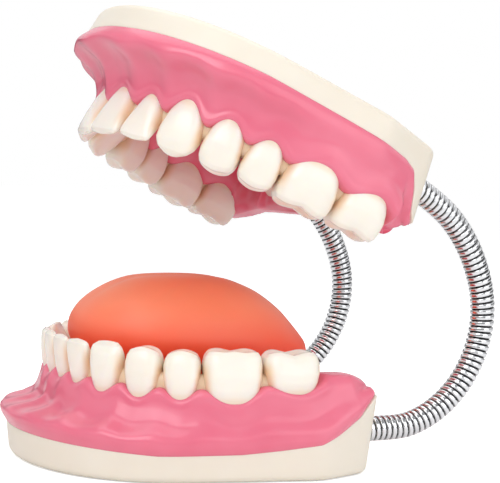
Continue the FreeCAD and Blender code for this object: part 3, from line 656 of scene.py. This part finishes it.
        # painted shade: from the inner side of the crest the gum darkens over 14 rings to deep crimson, down the
        # inner wall and over the floor of the mouth, which is the palate in the upper jaw
        rows = np.arange(len(rings))
        start = sum(counts[:13])
        depth = np.clip((rows - start) / 14.0, 0, 1)[:, None] * np.ones(self.AROUND)
        piece = skin(f"{form.name}_gum_skin", rings, self.place, PINK_VINYL, {"depth": depth})
        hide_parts(f"{form.name}_gum")
        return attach(piece, self.body)

    def add_carrier(self) -> bpy.types.Object:
        """Make the ivory web that joins the necks of the crowns."""
        form, row = self.form, self.row
        end = row.middles[-1]
        spots = np.linspace(-end, end, 240)
        around = 28
        angle = np.linspace(0, TURN, around, endpoint=False)
        rings = []
        for distance in spots:
            point, outward = row.at(abs(distance))
            if distance < 0:
                point, outward = point * [-1, 1], outward * [-1, 1]
            width = float(row.per_tooth(np.array([distance]), [0.235 * t.depth for t in form.teeth])[0])
            neck = float(row.per_tooth(np.array([distance]), [t.neck for t in form.teeth])[0])
            high = float(row.per_tooth(np.array([distance]), [(t.neck + t.top) / 2 for t in form.teeth])[0])
            low = neck - 3.5
            across = width * signed_power(np.cos(angle), 0.75)
            up = (high + low) / 2 + (high - low) / 2 * signed_power(np.sin(angle), 0.75)
            flat = point + across[:, None] * outward
            rings.append(np.column_stack([flat, up]))
        rings = np.array(rings)
        ends = [np.tile(r.mean(axis=0), (around, 1)) for r in (rings[0], rings[-1])]
        rings = np.concatenate([[ends[0]], rings, [ends[1]]])
        # painted shade: the whole web is tinted three quarters of the way to the warm deep colour, as it stands
        # back between the crowns
        piece = skin(f"{form.name}_tooth_web", rings, self.place, TOOTH_RESIN,
                     {"recess": np.full(rings.shape[:2], 0.75)})
        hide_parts(f"{form.name}_tooth_carrier")
        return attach(piece, self.body)

    def add_crown(self, index: int, side: Side) -> bpy.types.Object:
        """Make one crown where it stands in the row.

        Args:
            index: place of the tooth, counted from the middle.
            side: side of the mouth.

        Returns:
            The crown.
        """
        tooth = self.form.teeth[index]
        point, outward = self.row.at(self.row.middles[index])
        crown = Crown(tooth, self.form.name == "upper")
        rings, recess = crown.rings()
        along = np.array([-outward[1], outward[0]])
        flat = point + rings[..., :1] * along + rings[..., 1:2] * outward
        sign = side.value * self.side_sign
        rings = np.concatenate([flat * [sign, 1], rings[..., 2:]], axis=2)
        name = f"{self.form.name}_{side.name.lower()}_{tooth.name}"
        piece = skin(f"{name}_crown", rings, self.place, TOOTH_RESIN, {"recess": recess})
        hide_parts(name)
        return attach(piece, self.body)

    def dress_hardware(self) -> None:
        """Give the cover plate and the screws, which keep their made shape, their finishes."""
        for node, finish in ((f"{self.form.name}_base_plate", IVORY_PLATE),
                             (f"{self.form.name}_plate_screws", ZINC_SCREW),
                             (f"{self.form.name}_clamp_screws", ZINC_SCREW)):
            for slot in frame["nodes"][node].material_slots:
                slot.material = finish.material()

    def build(self) -> list[bpy.types.Object]:
        """Build every piece of the jaw."""
        pieces = [self.add_base(), self.add_gum(), self.add_carrier()]
        for index in range(len(self.form.teeth)):
            pieces += [self.add_crown(index, side) for side in Side]
        self.dress_hardware()
        return pieces


@dataclass
class Crown:
    """Carves one crown as rings: u along the row, w outwards, z up, in millimetres."""

    ROOT = -0.35          # share of the height at which a crown starts, inside the gum
    SPREAD = 0.028        # widening of a tip for each millimetre that the crown leans outwards
    CUSP_REACH = 0.9405   # reach of a cusp, as a share of the field it stands in
    CUSP_FALL = {ToothKind.MOLAR: 3.4, ToothKind.PREMOLAR: 3.0}    # depth between the cusps

    tooth: Tooth
    upper: bool
    around: int = 56
    gap: float = 0.12

    def shape(self, s: np.ndarray) -> tuple[np.ndarray, np.ndarray, np.ndarray, np.ndarray]:
        """Return half width, outer reach, inner reach and squareness at shares of the height."""
        def curve(shares: tuple[float, ...], values: tuple[float, ...]) -> np.ndarray:
            return np.interp(s, [self.ROOT, 0.0, *shares, 1.0], values)

        width, depth = self.tooth.width / 2 - self.gap, self.tooth.depth
        if self.tooth.kind is ToothKind.INCISOR:
            half = curve((0.3, 0.62, 0.85, 0.95), (0.62, 0.74, 0.87, 0.97, 1.0, 0.97, 0.86)
                         if self.upper else (0.72, 0.82, 0.91, 0.98, 1.0, 0.98, 0.88))
            out = curve((0.2, 0.5, 0.8, 0.94), (0.36, 0.45, 0.49, 0.47, 0.41, 0.35, 0.24))
            inn = curve((0.2, 0.4, 0.6, 0.85, 0.96), (0.36, 0.44, 0.46, 0.36, 0.18, 0.02, -0.04, -0.12))
            power = np.interp(s, [0, 0.5, 1], [2.1, 2.5, 2.7])
        elif self.tooth.kind is ToothKind.CANINE:
            half = curve((0.3, 0.6, 0.8, 0.92), (0.66, 0.78, 0.93, 1.0, 0.93, 0.70, 0.30)
                         if self.upper else (0.68, 0.79, 0.91, 0.99, 1.0, 0.90, 0.62))
            out = curve((0.25, 0.5, 0.8, 0.93), (0.37, 0.45, 0.51, 0.48, 0.38, 0.28, 0.14))
            inn = curve((0.2, 0.45, 0.7, 0.93), (0.38, 0.45, 0.47, 0.38, 0.20, 0.04, 0.0))
            power = np.interp(s, [0, 0.5, 1], [2.3, 2.8, 2.5])
        else:
            molar = self.tooth.kind is ToothKind.MOLAR
            half = curve((0.25, 0.5, 0.75, 0.92), (0.76, 0.83, 0.93, 0.985, 1.0, 0.95, 0.86)
                         if molar else (0.68, 0.77, 0.90, 0.975, 1.0, 0.93, 0.80))
            out = curve((0.25, 0.5, 0.8, 0.93), (0.38, 0.44, 0.50, 0.49, 0.42, 0.36, 0.28))
            inn = curve((0.3, 0.6, 0.85, 0.95), (0.38, 0.43, 0.49, 0.49, 0.43, 0.37, 0.30))
            power = np.interp(s, [0, 0.5, 1], [2.8, 3.7, 3.3] if molar else [2.5, 3.2, 2.9])
        return half * width, out * depth, inn * depth, power

    def relief(self, u: np.ndarray, w: np.ndarray) -> np.ndarray:
        """Return how far the top lies below the highest cusp, over the crown's plan."""
        tooth = self.tooth
        if not tooth.cusps:
            return np.zeros_like(u)
        along = tooth.width / (2 if tooth.kind is ToothKind.MOLAR else 1.25)
        reach = self.CUSP_REACH * min(along, tooth.depth / 1.6)
        total = np.zeros_like(u)
        for cu, cw, lift in tooth.cusps:
            away = np.hypot(u - cu * tooth.width, w - cw * tooth.depth)
            total += (np.clip(1 - (away / reach) ** 1.7, 0, 1) * (1 + 0.12 * lift)) ** 6
        height = np.clip(total, 0, 1.2) ** (1 / 6)
        return self.CUSP_FALL[tooth.kind] * (1 - height)

    def rings(self) -> tuple[np.ndarray, np.ndarray]:
        """Return the rings of the crown and its recess shading."""
        tooth = self.tooth
        angle = np.linspace(0, TURN, self.around, endpoint=False)
        side = np.concatenate([np.linspace(self.ROOT, 0.9, 22), np.linspace(0.925, 1.0, 6)])
        half, out, inn, power = self.shape(side)
        cos, sin = np.cos(angle), np.sin(angle)
        rows, marks = [], []
        height = tooth.top - tooth.neck
        for s, a, b, c, n in zip(side, half, out, inn, power):
            # a crown that leans out of the arch is wider at its tip, so that it meets its neighbours
            a = a * (1 + self.SPREAD * tooth.lean * max(s, 0.0))
            u = a * signed_power(cos, 2 / n)
            w = (b - c) / 2 + (b + c) / 2 * signed_power(sin, 2 / n)
            taper = float(smoothstep(0.25, 1.0, s))
            z = tooth.neck + s * height - self.relief(u, w) * taper
            if tooth.kind is ToothKind.INCISOR:
                z = z - 0.5 * (np.abs(u) / (tooth.width / 2)) ** 3 * taper
                z = z + (0.15 if self.upper else 0.25) * taper
            if tooth.kind is ToothKind.MOLAR:
                groove = bell(u, 0.06 * tooth.width) * (sin > 0) * taper
                w = w - 0.45 * groove * smoothstep(0.4, 0.9, s)
            rows.append(np.column_stack([u, w, z]))
            # painted shade: warm shade on the sides that meet the neighbouring crowns, fading out above mid
            # height, and a little at the neck
            near = smoothstep(0.72, 1.0, np.abs(u) / a) * (1 - smoothstep(0.55, 0.95, s))
            low = 0.45 * (1 - smoothstep(0.0, 0.16, s))
            marks.append(np.clip(0.75 * near + low, 0, 1))
        edge = rows[-1]
        centre = edge.mean(axis=0)
        for inward in (0.12, 0.26, 0.42, 0.58, 0.74, 0.88):
            flat = edge[:, :2] + (centre[:2] - edge[:, :2]) * inward
            if tooth.cusps:
                z = tooth.top - self.relief(flat[:, 0], flat[:, 1])
            else:
                z = edge[:, 2] + 0.35 * math.sin(inward * math.pi / 2)
            rows.append(np.column_stack([flat, z]))
            # painted shade: the top grows warmer towards the hollow between the cusps
            marks.append(np.full(self.around, 0.25 * inward if tooth.cusps else 0.0))
        top = rows[-1].mean(axis=0)
        rows.append(np.tile(top, (self.around, 1)))
        marks.append(marks[-1])
        rows.insert(0, np.tile(rows[0].mean(axis=0), (self.around, 1)))
        marks.insert(0, marks[0])
        points = np.array(rows)
        lean = np.clip((points[..., 2] - tooth.neck) / height, 0, 1)
        points[..., 1] += tooth.lean * lean
        return points, np.array(marks)


# ---------------------------------------------------------------- tongue

@dataclass
class Tongue:
    """The soft tongue: a smooth dome that leans out over the mouth floor, in millimetres."""

    half_width: float = 30.6
    around: int = 120
    # height, front y, rear y and share of the half width of each level, from the foot up
    levels: tuple[tuple[float, float, float, float], ...] = (
        (15.0, 4.0, 4.0, 0.0), (15.0, -22.0, 30.0, 0.66), (17.0, -26.0, 34.0, 0.74),
        (24.0, -31.0, 37.5, 0.86), (28.5, -32.8, 42.5, 0.92), (32.5, -33.8, 47.6, 0.96),
        (36.5, -35.0, 47.2, 0.99), (41.0, -36.5, 43.8, 1.0), (45.0, -36.2, 40.2, 0.96),
        (48.0, -34.8, 37.3, 0.92), (51.5, -31.9, 33.0, 0.84), (54.7, -27.6, 28.2, 0.73),
        (57.3, -22.8, 22.5, 0.60), (59.2, -17.6, 16.8, 0.45), (60.1, -11.8, 11.0, 0.29),
        (60.4, -6.0, 5.5, 0.14), (60.45, 0.0, 0.0, 0.0))

    def build(self) -> bpy.types.Object:
        """Make the tongue."""
        angle = np.linspace(0, TURN, self.around, endpoint=False)
        marks = []
        for height, front, rear, share in self.levels:
            x = self.half_width * share * signed_power(np.sin(angle), 0.88)
            y = (front + rear) / 2 - (rear - front) / 2 * signed_power(np.cos(angle), 0.92)
            marks.append(np.column_stack([x, y, np.full_like(x, height)]))
        rings = through(np.array(marks), [2, 2, 4] + [3] * (len(marks) - 4))
        top = smoothstep(46.0, 59.0, rings[..., 2])
        rings[..., 2] -= 0.45 * bell(rings[..., 0], 2.6) * top
        # painted shade: the tongue turns a deeper red orange towards its lower part, from 54 mm down, most below
        # 34 mm
        depth = 1 - smoothstep(34.0, 54.0, rings[..., 2])
        piece = skin("tongue_dome", rings, Matrix.Identity(4), TONGUE_VINYL, {"depth": depth * 0.8})
        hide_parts("tongue")
        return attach(piece, "lower_jaw")


# ---------------------------------------------------------------- goosenecks

@dataclass
class Gooseneck:
    """One wound metal gooseneck, split into stretches at points along its line."""

    LINK = 16.64                                # length of a link
    TURNS = (3.6, *[25.35] * 4, *[19.6] * 2)    # turn at the start of each link, in degrees
    STUB = 3.0                                  # from a rear wall to the nearest hinge
    STEP = 0.4                                  # reach over which the strip's direction is taken
    MARGIN = 2.0                                # stretch outside a wall that stays straight

    side: Side
    spread: float = 47.0
    radius: float = 4.15
    pitch: float = 2.1
    sleeve: float = 5.0
    samples: int = 11
    around: int = 26
    line: np.ndarray = field(init=False)
    splits: list[np.ndarray] = field(init=False)

    def route(self, upper: Matrix) -> None:
        """Lay the smooth middle line through the ends of the links, in (y, z) millimetres."""
        first, last = (np.array(frame["joints"][k]["pos_m"])[1:] / MM for k in (0, -1))
        ends = [first]
        for heading in np.radians(np.cumsum(self.TURNS)):
            ends.append(ends[-1] + self.LINK * np.array([math.cos(heading), math.sin(heading)]))
        axis = np.array(upper.to_3x3() @ Vector((0, 1, 0)))[1:]
        lower_wall, upper_wall = first - [self.STUB, 0.0], last - axis * self.STUB
        self.line = self.smooth(np.array([lower_wall - [self.sleeve, 0.0], lower_wall, *ends,
                                          upper_wall, upper_wall - axis * self.sleeve]))
        self.splits = [(ends[1] + ends[2]) / 2, ends[4], ends[6]]

    @staticmethod
    def smooth(knots: np.ndarray) -> np.ndarray:
        """Return closely spaced points of a smooth curve through the knots."""
        chords = np.diff(knots, axis=0)
        reach = np.linalg.norm(chords, axis=1)[:, None]
        ways = chords / reach
        inner = ways[:-1] + ways[1:]
        tangents = np.vstack([ways[:1], inner / np.linalg.norm(inner, axis=1)[:, None], ways[-1:]])
        rows = []
        for k in range(len(chords)):
            for u in np.linspace(0, 1, 60, endpoint=False):
                rows.append(hermite(u, knots[k], knots[k + 1], reach[k] * tangents[k],
                                    reach[k] * tangents[k + 1]))
        rows.append(knots[-1])
        return np.array(rows)

    def build(self, upper: Matrix) -> list[bpy.types.Object]:
        """Make the pieces of the gooseneck, one for each stretch between its cuts."""
        self.route(upper)
        walk = np.concatenate([[0], np.cumsum(np.linalg.norm(np.diff(self.line, axis=0), axis=1))])
        splits = [walk[np.argmin(np.linalg.norm(self.line - p, axis=1))] for p in self.splits]
        cuts = [0.0, *splits, walk[-1]]
        return [self.stretch(number, low, high, walk)
                for number, (low, high) in enumerate(zip(cuts, cuts[1:]))]

    def stretch(self, number: int, low: float, high: float, walk: np.ndarray) -> bpy.types.Object:
        """Make one stretch of wound strip between two distances along the line."""
        rows = int((high - low) / self.pitch * self.samples)
        at = np.linspace(low, high, rows + 1)
        centre = columns(at, walk, self.line)
        way = columns(at + self.STEP, walk, self.line) - columns(at - self.STEP, walk, self.line)
        way /= np.linalg.norm(way, axis=1)[:, None]
        angle = np.linspace(0, TURN, self.around, endpoint=False)
        phase = (at[:, None] / self.pitch + angle[None, :] / TURN) % 1.0
        band = np.abs(phase - 0.5) * 2
        groove = smoothstep(0.62, 0.96, band)
        radius = self.radius - 0.70 * groove - 0.10 * (band / 0.8) ** 2 * (1 - groove)
        x = self.spread * self.side.value + radius * np.cos(angle)
        out = radius * np.sin(angle)
        y = centre[:, :1] - way[:, 1:] * out
        z = centre[:, 1:] + way[:, :1] * out
        rings = np.stack([x, y, z], axis=2)
        caps = [np.tile([self.spread * self.side.value, *centre[k]], (self.around, 1)) for k in (0, -1)]
        rings = np.concatenate([[caps[0]], rings, [caps[1]]])
        # painted shade: near black in the grooves between the turns and on the hidden end caps
        dark = np.ones((1, self.around))
        seam = np.concatenate([dark, smoothstep(0.58, 0.82, band), dark])
        name = self.side.name.lower()
        piece = skin(f"{name}_gooseneck_{number + 1}", rings, Matrix.Identity(4), CHROME_STRIP,
                     {"seam": seam})
        nodes = {0: [f"lower_{name}_end_fitting", f"{name}_gooseneck_link_1"],
                 1: [f"{name}_gooseneck_link_{k}" for k in (2, 3, 4)],
                 2: [f"{name}_gooseneck_link_{k}" for k in (5, 6)],
                 3: [f"{name}_gooseneck_link_7", f"upper_{name}_end_fitting"]}[number]
        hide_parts(*nodes)
        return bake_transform(piece)


# ---------------------------------------------------------------- studio

@dataclass
class Studio:
    """Pale floor, soft lights and the camera, in millimetres and watts."""

    camera_at: tuple[float, float, float] = (411.2, -180.6, 95.4)
    target: tuple[float, float, float] = (0.0, 27.8, 71.74)
    roll: float = 2.06
    lens: float = 94.5

    def build(self) -> None:
        """Set up the stage."""
        self.add_floor()
        self.add_world()
        self.add_lights()
        self.add_camera()

    def add_floor(self) -> None:
        """Lay a wide white paper floor."""
        bm = bmesh.new()
        bmesh.ops.create_circle(bm, cap_ends=True, segments=96, radius=6.0)
        mesh = bpy.data.meshes.new("studio_floor")
        bm.to_mesh(mesh)
        bm.free()
        mesh.transform(Matrix.Translation((0, 0, -0.0002)))
        floor = bpy.data.objects.new("studio_floor", mesh)
        bpy.context.scene.collection.objects.link(floor)
        paper = bpy.data.materials.new("matt_white_paper")
        paper.use_nodes = True
        shader = paper.node_tree.nodes["Principled BSDF"]
        shader.inputs["Base Color"].default_value = linear("F7F7F7")
        shader.inputs["Roughness"].default_value = 0.9
        shader.inputs["Specular IOR Level"].default_value = 0.1
        # the lens sees the paper as evenly lit as a light table; the object doesn't
        seen = add_node(paper.node_tree, "ShaderNodeLightPath").outputs["Is Camera Ray"]
        glow = add_node(paper.node_tree, "ShaderNodeMath", {0: seen, 1: 0.55}, operation="MULTIPLY")
        shader.inputs["Emission Color"].default_value = (1.0, 1.0, 1.0, 1.0)
        paper.node_tree.links.new(glow.outputs[0], shader.inputs["Emission Strength"])
        mesh.materials.append(paper)

    def add_world(self) -> None:
        """Show plain white to the lens and light the object with a banded room."""
        world = bpy.data.worlds.new("soft_studio")
        bpy.context.scene.world = world
        world.use_nodes = True
        tree = world.node_tree
        back = tree.nodes["Background"]
        # the room is dark near the horizon, bright above it and dimmer overhead, which gives the
        # chrome light and dark bands to mirror
        way = add_node(tree, "ShaderNodeTexCoord").outputs["Generated"]
        split = add_node(tree, "ShaderNodeSeparateXYZ", {0: way})
        room = add_node(tree, "ShaderNodeValToRGB", {0: split.outputs["Z"]})
        ramp = room.color_ramp
        ramp.elements[0].position, ramp.elements[0].color = 0.0, (0.04, 0.04, 0.045, 1.0)
        ramp.elements[1].position, ramp.elements[1].color = 1.0, (0.35, 0.35, 0.35, 1.0)
        for spot, value in ((0.10, 0.06), (0.16, 0.85), (0.5, 0.85), (0.62, 0.35)):
            ramp.elements.new(spot).color = (value, value, value, 1.0)
        seen = add_node(tree, "ShaderNodeLightPath").outputs["Is Camera Ray"]
        mix = {"Factor": seen, 6: room.outputs[0], 7: (1.0, 1.0, 1.0, 1.0)}
        light = add_node(tree, "ShaderNodeMix", mix, data_type="RGBA").outputs[2]
        tree.links.new(light, back.inputs[0])
        back.inputs[1].default_value = 1.0

    def add_lights(self) -> None:
        """Hang a key, a fill and a top light."""
        for name, spot, size, power in (("key_softbox", (380, -420, 520), 0.45, 1.9),
                                        ("fill_softbox", (520, 260, 200), 0.5, 0.8),
                                        ("top_softbox", (-60, 60, 620), 0.6, 1.6)):
            light = bpy.data.lights.new(name, "AREA")
            light.size = size
            light.energy = power
            lamp = bpy.data.objects.new(name, light)
            lamp.location = Vector(spot) * MM
            aim = Vector((0, 10, 60)) * MM - lamp.location
            lamp.rotation_euler = aim.to_track_quat("-Z", "Y").to_euler()
            bpy.context.scene.collection.objects.link(lamp)

    def add_camera(self) -> None:
        """Place the camera."""
        data = bpy.data.cameras.new("camera")
        data.lens = self.lens
        data.sensor_width = 36.0
        data.clip_start, data.clip_end = 0.01, 50.0
        camera = bpy.data.objects.new("camera", data)
        camera.location = Vector(self.camera_at) * MM
        aim = (Vector(self.target) - Vector(self.camera_at)).to_track_quat("-Z", "Y")
        camera.rotation_mode = "QUATERNION"
        camera.rotation_quaternion = aim @ Matrix.Rotation(math.radians(self.roll), 4, "Z").to_quaternion()
        bpy.context.scene.collection.objects.link(camera)
        bpy.context.scene.camera = camera


def upper_placement() -> Matrix:
    """Return the placement of the upper jaw's drawing, from the record's top plate mount."""
    mount = next(m for m in frame["record"]["mounts"] if m["name"] == "top_plate")
    up = -Vector(mount["axis"]).normalized()
    across = Vector((-1.0, 0.0, 0.0))
    back = up.cross(across)
    turn = Matrix((across, back, up)).transposed().to_4x4()
    return Matrix.Translation(Vector(mount["pos_m"])) @ turn


def main() -> None:
    """Build every sub-assembly in order and report its pieces."""
    logging.basicConfig(level=logging.INFO, format="%(message)s")
    bpy.context.scene.view_settings.view_transform = "Standard"
    upper = upper_placement()
    pieces = Jaw(LOWER, Matrix.Identity(4), 1).build()
    pieces += Jaw(UPPER, upper, -1).build()
    pieces.append(Tongue().build())
    for side in Side:
        pieces += Gooseneck(side).build(upper)
    for piece in pieces:
        LOG.info("%s: %d faces", piece.name, len(piece.data.polygons))
    Studio().build()


if __name__ == "__main__":
    main()
